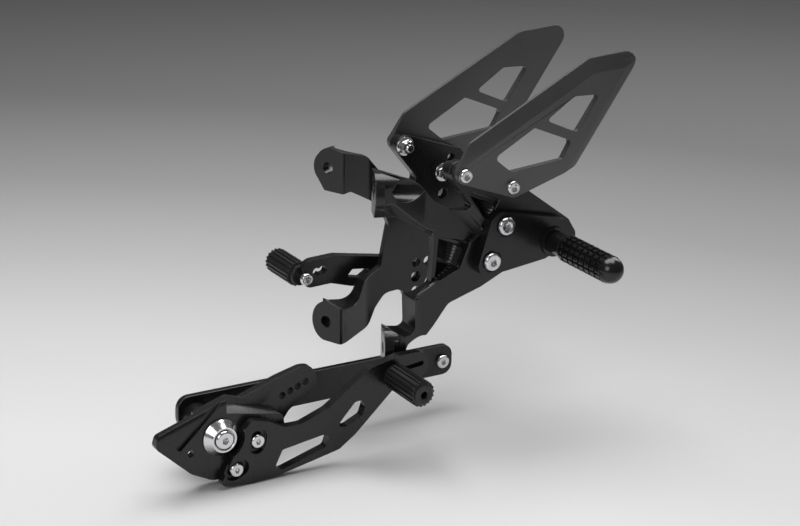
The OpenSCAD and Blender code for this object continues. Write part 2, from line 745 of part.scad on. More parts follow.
// Shift pedal: arc slots over the cam, two windows, a slot at its end
pedal_outline = [[0, -26, 5], [-3.5, -33.5, 6], [19, -36, 10], [41, -34.5, 14], [88, -25, 8],
    [101, -16, 6], [131, 12, 8], [159, 19, 6], [159, 36, 9], [135, 36, 8], [112, 31, 8],
    [78, 7, 8], [58, 0, 10], [45, 0.5, 6], [33, 7, 6], [20, 10.5, 6], [12, 1, 6], [8, -10, 8]];
pedal_window_1 = [[38, -27.5, 2], [43.5, -16, 2], [75, -11.5, 2], [80, -14, 2], [77.5, -21, 3],
    [43, -31, 3]];
pedal_window_2 = [[85.5, -8, 2], [100, 8, 2], [105, 8.5, 2], [108.5, 4, 2], [106, -3.5, 3],
    [94, -9, 3]];
pedal_toe = [130, 23];
toe_sink = 3.5;

// Slot round the pivot: the path of a round bar over a few degrees to each side
function polar(reach, angle) = reach * [cos(angle), sin(angle)];
module arc_slot(at, r, swing, y0, y1) {
    reach = norm(at);
    mid = atan2(at.y, at.x);
    band = concat([for (i = [-4:4]) polar(reach + r, mid + i * swing / 4)],
        [for (t = [22.5:22.5:157.5]) polar(reach, mid + swing) + polar(r, mid + swing + t)],
        [for (i = [4:-1:-4]) polar(reach - r, mid + i * swing / 4)],
        [for (t = [202.5:22.5:337.5]) polar(reach, mid - swing) + polar(r, mid - swing + t)]);
    slab([for (p = band) concat(p, 0)], y0, y1);
}

module shift_pedal() {
    color(black) at_shift() difference() {
        slab(pedal_outline, pedal_front, pedal_back);
        bar([0, 0], cone_d / 2 + 1.5, -80, 80);
        for (at = pedal_bolts) {
            arc_slot(at, m6_r + bolt_clear, 7, -80, 80);
            arc_slot(at, m6_head_d / 2 + 0.8, 7, -80, pedal_back - 4);
        }
        slab(pedal_window_1, pedal_front - 1, pedal_back + 1);
        slab(pedal_window_2, pedal_front - 1, pedal_back + 1);
        bar(pedal_toe, m6_r + bolt_clear, -80, 80);
        bar(pedal_toe, m6_head_d / 2, pedal_back - toe_sink, 80);
        slab([[137, 23.5, 1.5], [137, 27, 1.5], [155, 29, 1.5], [155, 25.5, 1.5]],
            pedal_front - 1, pedal_front + 3.5);
    }
}

module shift_pedal_bolts() {
    color(steel) at_shift() for (at = pedal_bolts)
        button_bolt(at, m6_r, m6_head_d, pedal_back - 4, 4 + cam_t - 1);
}

module shift_toe_piece() { color(grip) at_shift() toe_piece(pedal_toe, pedal_front, shift_toe_len); }

module shift_toe_bolt() {
    color(steel) at_shift() translate([pedal_toe.x, 0, pedal_toe.y]) rotate([0, 0, 180])
        button_bolt([0, 0], m6_r, m6_head_d - 1, toe_sink - pedal_back, pedal_t - toe_sink + 22);
}

left_hanger();
left_heel_guard();
left_guard_bolts();
left_guard_collar();
left_peg_holder();
left_holder_bolts();
left_footpeg();
left_peg_bolt();
right_hanger();
right_heel_guard();
right_guard_bolts();
right_flange_nuts();
right_stay_bolt();
right_peg_holder();
right_holder_bolts();
right_footpeg();
right_peg_bolt();
brake_lever();
brake_bush();
brake_pivot_bolt();
brake_toe_piece();
brake_toe_bolt();
shift_bracket();
bracket_bolt();
bracket_nut();
shift_spacer();
shift_cam();
cam_bush();
cone_washer();
shift_pivot_bolt();
shift_pedal();
shift_pedal_bolts();
shift_toe_piece();
shift_toe_bolt();
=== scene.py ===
import json
import math

import bmesh
import bpy
from mathutils import Matrix, Vector

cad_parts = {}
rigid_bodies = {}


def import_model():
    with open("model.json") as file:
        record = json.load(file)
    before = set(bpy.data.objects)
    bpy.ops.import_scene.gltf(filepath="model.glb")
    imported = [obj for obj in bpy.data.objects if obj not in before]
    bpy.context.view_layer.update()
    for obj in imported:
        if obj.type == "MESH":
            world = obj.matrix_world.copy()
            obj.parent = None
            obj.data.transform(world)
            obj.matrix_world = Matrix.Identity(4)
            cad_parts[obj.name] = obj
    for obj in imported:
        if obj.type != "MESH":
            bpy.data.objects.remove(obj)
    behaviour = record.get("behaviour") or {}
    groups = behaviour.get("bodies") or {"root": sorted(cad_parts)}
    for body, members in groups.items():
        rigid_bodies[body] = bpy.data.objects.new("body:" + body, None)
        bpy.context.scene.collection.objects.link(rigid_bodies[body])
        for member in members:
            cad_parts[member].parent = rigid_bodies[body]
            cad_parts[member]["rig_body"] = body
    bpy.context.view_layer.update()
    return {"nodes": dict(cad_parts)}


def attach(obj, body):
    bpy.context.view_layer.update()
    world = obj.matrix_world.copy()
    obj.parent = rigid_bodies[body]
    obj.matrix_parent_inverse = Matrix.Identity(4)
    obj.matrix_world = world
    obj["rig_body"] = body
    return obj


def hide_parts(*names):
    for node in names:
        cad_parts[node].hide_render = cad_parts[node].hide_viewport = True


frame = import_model()

MM = 0.001

# Levels across the bike in a unit's own frame, outboard is negative, in mm
UNIT_GAP = 65
INNER = -0.5
GUARD_FACE = -15.5
HOLDER_FACE = -18.5
PEG_SEAT = -20.5
LEVER_IN = -18
LEVER_OUT = -25
SIDE_PLAY = 0.3
CAM_FRONT = -17.5
PEDAL_FRONT = -24.5
BRACKET = 22.8
BRACKET_T = 5
# Levels where bolt heads sit, sunk in a face
HOLDER_SEAT = HOLDER_FACE + 1.5
PEDAL_SEAT = CAM_FRONT - 4
TOE_SEAT = PEDAL_FRONT + 3.5

# Places seen from the side, rearward and up, in mm
GUARD_BOLTS = [(64, 8), (104, -6)]
STAY_BOLT = (97.5, -16)
HOLDER_BOLTS = [(98, -33), (87.2, -57.745)]
PEG_AXIS = (140, -51)
BRAKE_PIVOT = (76.5, -94.5)
BRAKE_TOE = (-7, -88)
SHIFT_PIVOT = (-126, -149)
PEDAL_BOLTS = [(-101, -155), (-117, -173)]
BRACKET_BOLT = (74, -146)
SHIFT_TOE = (4, -126)

OUT_LEFT = Vector((0, -1, 0))
OUT_RIGHT = Vector((0, 1, 0))


def left(at, level):
    """A place on the left unit, at (x, z) and a level across the bike."""
    return Vector((at[0], level, at[1])) * MM


def right(at, level):
    """The same place on the right unit, its mirror."""
    return Vector((at[0], UNIT_GAP - level, at[1])) * MM


def seated(unit, level, way, *spots):
    """Seats for turned pieces on one level: each a place and the way it faces."""
    return [(unit(at, level), way) for at in spots]


class Wire:
    """A node's output socket that takes part in Python arithmetic."""

    def __init__(self, graph, socket):
        self.graph, self.socket = graph, socket

    def calc(self, operation, *others):
        """A Math node with this socket first."""
        return self.graph.math(operation, self, *others)

    def __add__(self, other): return self.calc("ADD", other)
    def __radd__(self, other): return self.graph.math("ADD", other, self)
    def __sub__(self, other): return self.calc("SUBTRACT", other)
    def __rsub__(self, other): return self.graph.math("SUBTRACT", other, self)
    def __mul__(self, other): return self.calc("MULTIPLY", other)
    def __rmul__(self, other): return self.graph.math("MULTIPLY", other, self)
    def __truediv__(self, other): return self.calc("DIVIDE", other)
    def __rtruediv__(self, other): return self.graph.math("DIVIDE", other, self)
    def __neg__(self): return self.calc("MULTIPLY", -1.0)
    def __mod__(self, other): return self.calc("FLOORED_MODULO", other)
    def floor(self): return self.calc("FLOOR")
    def sin(self): return self.calc("SINE")
    def cos(self): return self.calc("COSINE")
    def least(self, other): return self.calc("MINIMUM", other)
    def most(self, other): return self.calc("MAXIMUM", other)


class Graph:
    """A node tree, with one method that makes any node."""

    def __init__(self, tree):
        self.tree = tree

    def node(self, kind, settings=None, inputs=None, output=0):
        """A new node: its settings first, then its sockets' values or links."""
        made = self.tree.nodes.new(kind)
        for name, value in (settings or {}).items():
            if name == "stops":
                ramp = made.color_ramp
                while len(ramp.elements) < len(value):
                    ramp.elements.new(0.5)
                for element, (place, shade) in zip(ramp.elements, value):
                    element.position, element.color = place, (shade, shade, shade, 1)
            elif name == "choices":
                while len(made.index_switch_items) < value:
                    made.index_switch_items.new()
            else:
                setattr(made, name, value)
        for key, value in (inputs or {}).items():
            if isinstance(value, Wire):
                self.tree.links.new(value.socket, made.inputs[key])
            elif value is not None:
                made.inputs[key].default_value = value
        return Wire(self, made.outputs[output])

    def math(self, operation, *values):
        """A Math node on numbers."""
        return self.node("ShaderNodeMath", {"operation": operation}, dict(enumerate(values)))

    def vectors(self, operation, *values, output=0):
        """A Vector Math node."""
        return self.node(
            "ShaderNodeVectorMath", {"operation": operation}, dict(enumerate(values)), output
        )

    def spot(self):
        """The place of each point on its own piece."""
        return self.node("ShaderNodeTexCoord", None, None, "Object")

    def mix(self, share, low, high):
        """A colour between two colours."""
        return self.node("ShaderNodeMix", {"data_type": "RGBA"}, {0: share, 6: low, 7: high}, 2)

    def pick(self, index, values):
        """The value for a ring or a step, by its number."""
        inputs = {0: index}
        inputs.update({k + 1: v for k, v in enumerate(values)})
        return self.node(
            "GeometryNodeIndexSwitch", {"data_type": "FLOAT", "choices": len(values)}, inputs
        )

    def vector(self, x, y, z):
        """Three numbers as a vector."""
        return self.node("ShaderNodeCombineXYZ", None, {0: x, 1: y, 2: z})


# Finishes

# Cells of noise per metre
CLOUD_CELLS = 26.0
RUB_CELLS = 90.0
SMEAR_CELLS = 160.0
RING_CELLS = 5200.0
# Cutter streaks have this share of their cells along their length
STREAK_PULL = 0.03
# The smoothest that an anodised face gets
LEAST_ROUGH = 0.08


def new_finish(name, colour, metallic, specular=0.5):
    """A material with its shader's constants set, and the graph to add to."""
    finish = bpy.data.materials.new(name)
    finish.use_nodes = True
    graph = Graph(finish.node_tree)
    shader = finish.node_tree.nodes["Principled BSDF"]
    shader.inputs["Base Color"].default_value = (*colour, 1)
    shader.inputs["Metallic"].default_value = metallic
    shader.inputs["Specular IOR Level"].default_value = specular
    return finish, graph, shader


def connect(graph, wire, shader, name):
    """Links a wire to one of the shader's sockets."""
    graph.tree.links.new(wire.socket, shader.inputs[name])


def raise_surface(graph, shader, height, strength, distance):
    """Gives the shader a bump, from a height and its depth in metres."""
    normal = graph.node(
        "ShaderNodeBump", None,
        {"Strength": strength, "Distance": distance, "Height": height}, "Normal",
    )
    connect(graph, normal, shader, "Normal")


def stretched_noise(graph, spot, stretch, detail, roughness=0.5):
    """Noise whose grain is so many cells per metre along each axis."""
    scaled = graph.vectors("MULTIPLY", spot, stretch)
    return graph.node(
        "ShaderNodeTexNoise", None,
        {"Vector": scaled, "Scale": 1.0, "Detail": detail, "Roughness": roughness},
    )


def anodised(name, dark, light, metallic, rough, streak, grain, bump):
    """Black anodised aluminium: even sheen, faint cutter streaks, fine blasted grain."""
    finish, graph, shader = new_finish(name, dark, metallic)
    spot = graph.spot()
    cloud = stretched_noise(graph, spot, (CLOUD_CELLS,) * 3, detail=3.0)
    cutter = stretched_noise(
        graph, spot, (streak, streak, streak * STREAK_PULL), detail=2.0, roughness=0.6
    )
    speck = stretched_noise(graph, spot, (grain,) * 3, detail=2.0, roughness=0.6)
    shade = (cloud * 0.8 + cutter * 0.2).least(1.0)
    connect(graph, graph.mix(shade, (*dark, 1), (*light, 1)), shader, "Base Color")
    smudge = (cloud - 0.5) * 0.14 + (cutter - 0.5) * 0.07 + (speck - 0.5) * 0.08
    connect(graph, (smudge + rough).most(LEAST_ROUGH), shader, "Roughness")
    height = cutter * 0.12 + speck * 0.88
    raise_surface(graph, shader, height, strength=bump, distance=0.00003)
    return finish


def worn_edge_painted_highlight(name, colour, rough):
    """Machined edge of an anodised piece, smoother than its faces and paler, partly as wear and
    partly as a painted highlight along the edge.
    """
    finish, graph, shader = new_finish(name, colour, 0.5)
    rub = stretched_noise(graph, graph.spot(), (RUB_CELLS,) * 3, detail=3.0, roughness=0.7)
    # Paler colour: partly edge wear, partly a painted highlight
    pale = tuple(min(1, 1.9 * c) for c in colour)
    connect(graph, graph.mix(rub, (*colour, 1), (*pale, 1)), shader, "Base Color")
    connect(graph, (rub - 0.5) * 0.25 + rough, shader, "Roughness")
    return finish


def ridged(name, colour, rough, pitch, lean):
    """Pocket floor left with fine ridges by the cutter: the ridges are a bump, with painted
    highlight and painted shade in stripes along them, on a floor colour lighter than the plates'
    as painted light.
    """
    finish, graph, shader = new_finish(name, colour, 0.2)
    slope = (math.sin(math.radians(lean)), 0.0, math.cos(math.radians(lean)))
    rise = graph.vectors("DOT_PRODUCT", graph.spot(), slope, output="Value")
    wave = (rise * (2 * math.pi / (pitch * MM))).sin() * 0.5 + 0.5
    # Painted highlight on the ridges' crests and painted shade in their roots
    pale = tuple(2.2 * c for c in colour)
    connect(graph, graph.mix(wave, (*colour, 1), (*pale, 1)), shader, "Base Color")
    connect(graph, wave * -0.08 + (rough + 0.04), shader, "Roughness")
    raise_surface(graph, shader, wave, strength=0.7, distance=0.00025)
    return finish


def polished(name, colour, rough):
    """Turned and polished stainless steel, with rings about each piece's own axis."""
    finish, graph, shader = new_finish(name, colour, 1.0)
    turned = graph.node("ShaderNodeAttribute", {"attribute_name": "turned"}, None, "Vector")
    flat = graph.vectors("MULTIPLY", turned, (1.0, 1.0, 0.0))
    radius = graph.vectors("LENGTH", flat, output="Value")
    ring = graph.node(
        "ShaderNodeTexNoise", {"noise_dimensions": "1D"},
        {"W": radius, "Scale": RING_CELLS, "Detail": 2.0},
    )
    smear = stretched_noise(graph, graph.spot(), (SMEAR_CELLS,) * 3, detail=3.0)
    dim = tuple(0.82 * c for c in colour)
    connect(graph, graph.mix(smear, (*dim, 1), (*colour, 1)), shader, "Base Color")
    connect(graph, (ring - 0.5) * 0.16 + (smear - 0.5) * 0.14 + rough, shader, "Roughness")
    raise_surface(graph, shader, ring, strength=0.25, distance=0.00004)
    return finish


plate_black = anodised(
    "plate_black", dark=(0.004, 0.004, 0.0045), light=(0.009, 0.009, 0.010),
    metallic=0.0, rough=0.25, streak=1500.0, grain=3200.0, bump=0.35,
)
guard_black = anodised(
    "guard_black", dark=(0.115, 0.115, 0.118), light=(0.150, 0.150, 0.154),
    metallic=0.75, rough=0.34, streak=1500.0, grain=3400.0, bump=0.3,
)
bevel_black = anodised(
    "bevel_black", dark=(0.018, 0.018, 0.019), light=(0.026, 0.026, 0.028),
    metallic=0.50, rough=0.22, streak=1500.0, grain=3400.0, bump=0.3,
)
lever_black = anodised(
    "lever_black", dark=(0.004, 0.004, 0.0045), light=(0.009, 0.009, 0.010),
    metallic=0.0, rough=0.28, streak=1500.0, grain=3200.0, bump=0.35,
)
grip_black = anodised(
    "grip_black", dark=(0.004, 0.004, 0.0045), light=(0.008, 0.008, 0.009),
    metallic=0.0, rough=0.22, streak=1200.0, grain=3000.0, bump=0.3,
)
toe_black = anodised(
    "toe_black", dark=(0.005, 0.005, 0.0055), light=(0.012, 0.012, 0.013),
    metallic=0.0, rough=0.36, streak=1200.0, grain=2600.0, bump=0.4,
)
# Edge finish paler than the faces, partly wear and partly painted highlight
edge_black = worn_edge_painted_highlight("edge_black", (0.035, 0.035, 0.037), rough=0.24)
# Pocket floor colour lighter than the plates' as painted light
ridged_black = ridged("ridged_black", (0.022, 0.022, 0.023), rough=0.36, pitch=2.4, lean=24)
bright_steel = polished("bright_steel", (0.80, 0.80, 0.82), rough=0.17)
bush_steel = polished("bush_steel", (0.66, 0.66, 0.68), rough=0.26)


# Work on meshes

# Points this near each other are one, and an edge counts as at least this long
MERGE = 2e-6
SHORTEST = 1e-7
# Faces that meet at less than this are one flat face
FLAT_UNDER = math.radians(0.6)
# A crease that stays sharp: its least angle, its length, and its faces' reach
CREASE_OVER = math.radians(4)
CREASE_LENGTH = 3 * MM
CREASE_REACH = 3.5 * MM
# Smooth shading up to these angles, in degrees
CUT_SMOOTH = 50
TURNED_SMOOTH = 35


def add_object(name, data):
    """A new object in the scene."""
    made = bpy.data.objects.new(name, data)
    bpy.context.scene.collection.objects.link(made)
    return made


def edit(mesh, *steps):
    """Opens a mesh as a bmesh, takes each step on it and writes it back."""
    shape = bmesh.new()
    shape.from_mesh(mesh)
    for step in steps:
        step(shape)
    shape.to_mesh(mesh)
    shape.free()


def merge(shape):
    """Joins the vertices that lie in one place."""
    bmesh.ops.remove_doubles(shape, verts=shape.verts, dist=MERGE)


def face_outwards(shape):
    """Turns the faces of a closed shape outwards."""
    bmesh.ops.recalc_face_normals(shape, faces=shape.faces)


def join_flats(shape):
    """Joins the triangles that lie in one plane."""
    bmesh.ops.dissolve_limit(
        shape, angle_limit=FLAT_UNDER, verts=shape.verts, edges=shape.edges
    )


def across(edge):
    """How far the smaller face beside an edge reaches away from it."""
    smallest = min(face.calc_area() for face in edge.link_faces)
    return smallest / max(edge.calc_length(), SHORTEST)


def keep_creases(shape):
    """Sharp shading where two broad flat faces meet at a shallow angle."""
    for edge in shape.edges:
        if len(edge.link_faces) != 2 or edge.calc_length() < CREASE_LENGTH:
            continue
        if edge.calc_face_angle() > CREASE_OVER and across(edge) > CREASE_REACH:
            edge.smooth = False


def smooth_under(mesh, angle):
    """Smooth shading, sharp at edges over an angle in degrees."""
    mesh.shade_smooth()
    mesh.set_sharp_from_angle(angle=math.radians(angle))


def plain_mesh(piece):
    """The piece with its modifiers worked into one plain mesh."""
    depsgraph = bpy.context.evaluated_depsgraph_get()
    mesh = bpy.data.meshes.new_from_object(piece.evaluated_get(depsgraph))
    piece.modifiers.clear()
    piece.data = mesh
    return mesh


def prism(name, outline, start, depth):
    """A closed solid: an outline of points in metres, pushed along a direction."""
    def walls(shape):
        near = [shape.verts.new(start + point) for point in outline]
        far = [shape.verts.new(start + point + depth) for point in outline]
        shape.faces.new(near)
        shape.faces.new(far)
        for k in range(len(outline)):
            shape.faces.new((near[k - 1], near[k], far[k], far[k - 1]))

    mesh = bpy.data.meshes.new(name)
    edit(mesh, walls, face_outwards)
    return add_object(name, mesh)


def worked(mesh, solids):
    """The mesh with solids joined to it or cut from it."""
    blank = add_object("blank", mesh)
    for solid, operation in solids:
        tool = blank.modifiers.new("tool", "BOOLEAN")
        tool.operation, tool.solver, tool.object = operation, "EXACT", solid
        plain_mesh(blank)
    mesh = blank.data
    for made in [blank, *(solid for solid, _ in solids)]:
        bpy.data.objects.remove(made)
    return mesh


# Pieces cut from plate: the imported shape, with its edges broken

# An edge is broken over this angle, where its faces reach this many widths
BROKEN_OVER = math.radians(32)
BROKEN_ROOM = 2.5
BEVEL_STEPS = 2
# A guard's bevels, by how squarely their faces look across the bike
BEVEL_LEAST, BEVEL_MOST = 0.15, 0.9985
# The ridged pockets' outlines, how squarely their floors face, and their most area
POCKETS = [
    [(69, -5), (97.5, -15.5), (88, -31.5)],
    [(50, -37.5), (73.5, -44), (66, -62), (47.5, -69.5)],
]
POCKET_LEAST = 0.95
POCKET_AREA = 400 * MM * MM


def on_guard_bevel(face):
    """Whether a face lies on the bevelled rim of a heel guard."""
    return BEVEL_LEAST < abs(face.normal.y) < BEVEL_MOST


def on_pocket_floor(face):
    """Whether a face lies flat at the bottom of a ridged pocket."""
    if abs(face.normal.y) < POCKET_LEAST or face.calc_area() > POCKET_AREA:
        return False
    spot = face.calc_center_median() / MM
    for outline in POCKETS:
        turns = []
        for k, (x, z) in enumerate(outline):
            u, w = outline[k - 1]
            turns.append((x - u) * (spot.z - w) - (z - w) * (spot.x - u))
        if max(turns) < 0 or min(turns) > 0:
            return True
    return False


def machined(node, finish, broken, edge_finish, special=None, solids=()):
    """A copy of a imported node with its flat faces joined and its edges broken.

    broken is the broken edges' width in mm. special is a test for faces and
    the finish that they take. solids are joined to the piece or cut from it.
    """
    def part_finishes(shape):
        for face in shape.faces:
            face.material_index = 2 if special and special[0](face) else 0

    def weigh_edges(shape):
        weight = shape.edges.layers.float.new("bevel_weight_edge")
        for edge in shape.edges:
            if len(edge.link_faces) == 2 and edge.calc_face_angle_signed() > BROKEN_OVER:
                edge[weight] = 1.0 if across(edge) > BROKEN_ROOM * broken * MM else 0.0

    source = frame["nodes"][node]
    mesh = source.data.copy()
    mesh.materials.clear()
    edit(mesh, merge)
    if solids:
        mesh = worked(mesh, solids)
    edit(mesh, merge, join_flats, part_finishes, weigh_edges)
    mesh.materials.clear()
    mesh.materials.append(finish)
    mesh.materials.append(edge_finish)
    if special:
        mesh.materials.append(special[1])
    piece = add_object(node + "_finished", mesh)
    bevel = piece.modifiers.new("broken_edges", "BEVEL")
    bevel.width = broken * MM
    bevel.segments = BEVEL_STEPS
    bevel.limit_method = "WEIGHT"
    # The clamp would shrink the hangers' broken edges to nothing
    bevel.use_clamp_overlap = not solids
    bevel.material = 1
    mesh = plain_mesh(piece)
    smooth_under(mesh, CUT_SMOOTH)
    edit(mesh, keep_creases)
    flats = piece.modifiers.new("flat_faces_first", "WEIGHTED_NORMAL")
    flats.keep_sharp = True
    plain_mesh(piece)
    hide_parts(node)
    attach(piece, source["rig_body"])


# Turned pieces: a grid of rings and segments, wrapped round an axis


def wrapped(graph, profile, segments, notch):
    """A grid with a row of points for each ring, wrapped round the Z axis."""
    count = len(profile)
    grid = graph.node(
        "GeometryNodeMeshGrid", None,
        {"Size X": 1.0, "Size Y": 1.0, "Vertices X": segments + 1, "Vertices Y": count},
    )
    index = graph.node("GeometryNodeInputIndex")
    ring = index % float(count)
    turn = (index / float(count)).floor() % float(segments)
    angle = turn * (2 * math.pi / segments)
    reach = graph.pick(ring, [r[0] for r in profile])
    height = graph.pick(ring, [r[1] for r in profile])
    if any(r[2] for r in profile):
        sixth = angle % (math.pi / 3) - math.pi / 6
        six_sided = math.cos(math.pi / 6) / sixth.cos()
        share = graph.pick(ring, [float(r[2]) for r in profile])
        reach = reach * (1 + share * (six_sided - 1))
    if notch:
        steps, low = notch
        step = turn % float(steps)
        depth = graph.pick(ring, [r[3] for r in profile])
        sunk = graph.pick(step, [1.0 if k in low else 0.0 for k in range(steps)])
        reach = reach - depth * sunk
    place = graph.vector(reach * angle.cos(), reach * angle.sin(), height)
    turned = graph.node("GeometryNodeSetPosition", None, {"Geometry": grid, "Position": place})
    return graph.node("GeometryNodeMergeByDistance", None, {"Geometry": turned, "Distance": MERGE})


def ring_tree(name, inputs, rings, segments, notch=None):
    """A tree that turns a profile and puts it at every point of its mesh.

    rings(given) returns a ring for each step of the profile: its radius and
    its height in metres, then, where they aren't nothing, how six-sided it is
    and how deep its notches are. notch is a segment count for one tooth and
    which of them lie low.
    """
    tree = bpy.data.node_groups.new(name, "GeometryNodeTree")
    tree.is_modifier = True
    face = tree.interface
    face.new_socket("Geometry", in_out="INPUT", socket_type="NodeSocketGeometry")
    for label in inputs:
        face.new_socket(label, in_out="INPUT", socket_type="NodeSocketFloat")
    face.new_socket("Seed", in_out="INPUT", socket_type="NodeSocketInt")
    face.new_socket("Finish", in_out="INPUT", socket_type="NodeSocketMaterial")
    face.new_socket("Geometry", in_out="OUTPUT", socket_type="NodeSocketGeometry")
    graph = Graph(tree)
    entry = tree.nodes.new("NodeGroupInput")
    given = {label: Wire(graph, entry.outputs[label]) for label in [*inputs, "Seed", "Finish"]}
    seats = Wire(graph, entry.outputs["Geometry"])

    profile = [(*ring, 0, 0.0)[:4] for ring in rings(given)]
    turned = wrapped(graph, profile, segments, notch)
    turned = graph.node(
        "GeometryNodeStoreNamedAttribute",
        {"data_type": "FLOAT_VECTOR", "domain": "POINT"},
        {"Geometry": turned, "Name": "turned", "Value": graph.node("GeometryNodeInputPosition")},
    )
    facing = graph.node(
        "GeometryNodeInputNamedAttribute", {"data_type": "FLOAT_VECTOR"}, {"Name": "facing"}
    )
    stand = graph.node("FunctionNodeAlignRotationToVector", {"axis": "Z"}, {"Vector": facing})
    placed = graph.node(
        "GeometryNodeInstanceOnPoints", None,
        {"Points": seats, "Instance": turned, "Rotation": stand},
    )
    spin = graph.node(
        "FunctionNodeRandomValue", {"data_type": "FLOAT"}, {"Seed": given["Seed"]}, 1
    )
    twist = graph.vector(0.0, 0.0, spin * (math.pi / 3))
    spun = graph.node(
        "GeometryNodeRotateInstances", None,
        {"Instances": placed, "Rotation": twist, "Local Space": True},
    )
    real = graph.node("GeometryNodeRealizeInstances", None, {"Geometry": spun})
    done = graph.node(
        "GeometryNodeSetMaterial", None, {"Geometry": real, "Material": given["Finish"]}
    )
    leave = tree.nodes.new("NodeGroupOutput")
    tree.links.new(done.socket, leave.inputs[0])
    return tree


def turned_pieces(name, tree, seats, sizes, finish, body, stands_for=None, seed=1):
    """Runs a ring tree at seats, each a place and the way the piece faces."""
    mesh = bpy.data.meshes.new(name)
    mesh.from_pydata([tuple(place) for place, _ in seats], [], [])
    facing = mesh.attributes.new("facing", "FLOAT_VECTOR", "POINT")
    for k, (_, way) in enumerate(seats):
        facing.data[k].vector = way
    piece = add_object(name, mesh)
    run = piece.modifiers.new("rings", "NODES")
    run.node_group = tree
    values = {label: size * MM for label, size in sizes.items()}
    values.update({"Seed": seed, "Finish": finish})
    for item in tree.interface.items_tree:
        if item.in_out == "INPUT" and item.name in values:
            run[item.identifier] = values[item.name]
    mesh = plain_mesh(piece)
    edit(mesh, face_outwards)
    smooth_under(mesh, TURNED_SMOOTH)
    if stands_for:
        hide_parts(*stands_for)
    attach(piece, body)


# Where the crests and roots of a thread lie in a turn, and their depth, in pitches
THREAD_CREST = (0.12, 0.30)
THREAD_ROOT = (0.62, 0.74)
THREAD_DEPTH = 0.6
BOLT_TURNS = 8
NUT_TURNS = 4


def thread(radius, pitch, start, turns):
    """Crests and roots of a thread, as rings."""
    root = radius - THREAD_DEPTH * pitch
    return [
        (reach, start + pitch * (k + part))
        for k in range(turns)
        for reach, parts in ((radius, THREAD_CREST), (root, THREAD_ROOT))
        for part in parts
    ]


# A button head: how much of it is flat on top, the height of its brim, its arc's steps
CROWN_SHARE = 0.60
BRIM_SHARE = 0.22
CROWN_STEPS = 8


def button_rings(given):
    """Button head over its threaded shank, with a six-sided key recess."""
    head, rise = given["Head Radius"], given["Head Height"]
    shank, length = given["Shank Radius"], given["Shank Length"]
    key, deep, pitch = given["Key Radius"], given["Key Depth"], given["Pitch"]
    crown = key + (head - key) * CROWN_SHARE
    point, lip = 0.7 * MM, 0.25 * MM
    rings = [(0.0, -length), (shank - point, -length), (shank, point - length)]
    rings += thread(shank, pitch, point - length, BOLT_TURNS)
    rings += [
        (shank, 0.0), (head - 0.5 * MM, 0.0), (head, 0.4 * MM), (head, rise * BRIM_SHARE),
    ]
    for k in range(1, CROWN_STEPS):
        lean = k / CROWN_STEPS * math.pi / 2
        rings.append((
            crown + (head - crown) * math.cos(lean),
            rise * (BRIM_SHARE + (1 - BRIM_SHARE) * math.sin(lean)),
        ))
    return rings + [
        (crown, rise), (key + lip, rise), (key, rise - lip, 1), (key, rise - deep, 1),
        (0.0, rise - deep - 0.6 * MM),
    ]


def nut_rings(given):
    """Flange nut: round flange, six-sided body, crowned top, threaded bore."""
    flange, corner, rise = given["Flange Radius"], given["Corner Radius"], given["Height"]
    bore, pitch = given["Bore Radius"], given["Pitch"]
    soft, lip = 0.3 * MM, 0.5 * MM
    rings = [
        (bore, 0.0), (flange - soft, 0.0), (flange, soft), (flange, 0.9 * MM),
        (flange - soft, 1.2 * MM), (flange - 1.6 * MM, 1.75 * MM), (corner, 2.1 * MM, 1),
        (corner, rise - 1.0 * MM, 1), (corner * 0.96, rise - 0.55 * MM, 1),
        (corner * 0.85, rise), (bore + lip, rise), (bore, rise - lip),
    ]
    for k in range(NUT_TURNS):
        rings += [
            (bore + lip, rise - lip - pitch * (k + 0.5)),
            (bore, rise - lip - pitch * (k + 1)),
        ]
    return rings + [(bore, 0.0)]


def washer_rings(given):
    """Flat washer with broken edges."""
    rim, bore = given["Outer Radius"], given["Bore Radius"]
    thick, soft = given["Thickness"], given["Edge"]
    return [
        (bore, 0.0), (rim - soft, 0.0), (rim, soft), (rim, thick - soft),
        (rim - soft, thick), (bore + soft, thick), (bore, thick - soft), (bore, 0.0),
    ]


# A cone washer's flank: its steps, and the power that dishes it
FLANK_STEPS = 6
FLANK_DISH = 1.15


def cone_rings(given):
    """Cone washer: thin rim, dished flank, and a recess for the bolt's head."""
    rim, top, rise = given["Rim Radius"], given["Top Radius"], given["Height"]
    recess, sink, bore = given["Recess Radius"], given["Recess Depth"], given["Bore Radius"]
    soft, lip, foot = 0.3 * MM, 0.4 * MM, 1.1 * MM
    rings = [
        (bore, 0.0), (rim - soft, 0.0), (rim, soft), (rim, 0.8 * MM), (rim - soft, foot),
    ]
    for k in range(1, FLANK_STEPS + 1):
        part = k / FLANK_STEPS
        rings.append((rim + (top - rim) * part, foot + (rise - foot) * part ** FLANK_DISH))
    return rings + [
        (recess + lip, rise), (recess, rise - lip), (recess, rise - sink),
        (bore, rise - sink), (bore, 0.0),
    ]


# Teeth round a grip and rows along it, and the steps and the low steps of a tooth
GRIP_TEETH = 14
GRIP_ROWS = 8
TOOTH_STEPS, TOOTH_LOW = 8, (6, 7)
# Degrees between the rings of its ball end
BALL_STEP = 7.8


